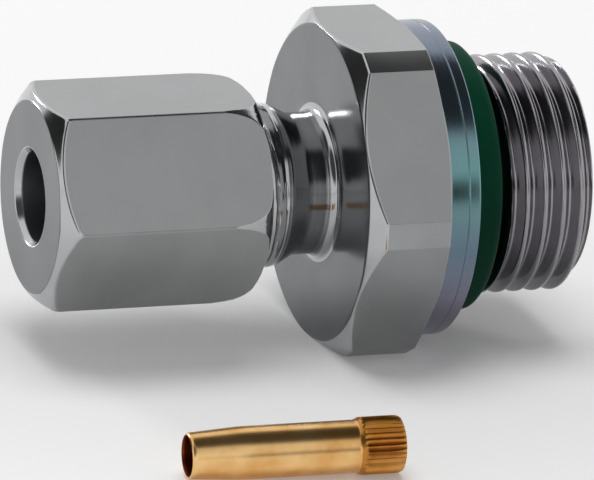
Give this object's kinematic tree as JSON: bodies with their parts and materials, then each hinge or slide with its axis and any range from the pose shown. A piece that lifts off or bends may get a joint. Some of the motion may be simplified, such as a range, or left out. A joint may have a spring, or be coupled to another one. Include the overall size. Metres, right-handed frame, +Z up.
{
  "type": "tube compression fitting with face seal",
  "caption": "Straight male stud fitting for 6 mm tube: hexagon body, union nut, cutting ring, pipe-thread stud with captive face seal, and a loose support sleeve.",
  "frame": {"origin": "centre of the collar's sealing face, on the fitting's axis", "axes": "+X along the axis, from the union nut to the stud's end; +Z up, square to the hexagon flat that it lies on"},
  "size_m": [0.0384, 0.0418, 0.022],
  "materials": {
    "zinc_plated_steel": "turned and zinc plated, with a bluish passivation",
    "zinc_plated_nut": "drawn hexagon bar, zinc plated",
    "hardened_ring": "turned, hardened and zinc plated",
    "green_elastomer": "moulded, satin",
    "brass": "turned, with a straight knurl"
  },
  "bodies": {
    "body": {"stud_body": "zinc_plated_steel", "face_seal": "green_elastomer", "tube_insert": "brass"},
    "ring": {"cutting_ring": "hardened_ring"},
    "nut": {"union_nut": "zinc_plated_nut"}
  },
  "joints": [
    {"name": "ring_travel", "type": "slide", "parent": "body", "child": "ring", "axis": [-1, 0, 0], "range_m": [0, 0.0053]},
    {"name": "nut_turn", "type": "hinge", "parent": "ring", "child": "nut", "pos_m": [-0.02, 0, 0], "axis": [-1, 0, 0], "range_deg": [0, 1260]}
  ],
  "couplings": [
    {"joint": "ring_travel", "follows": "nut_turn", "m_per_rad": 0.00023873}
  ]
}
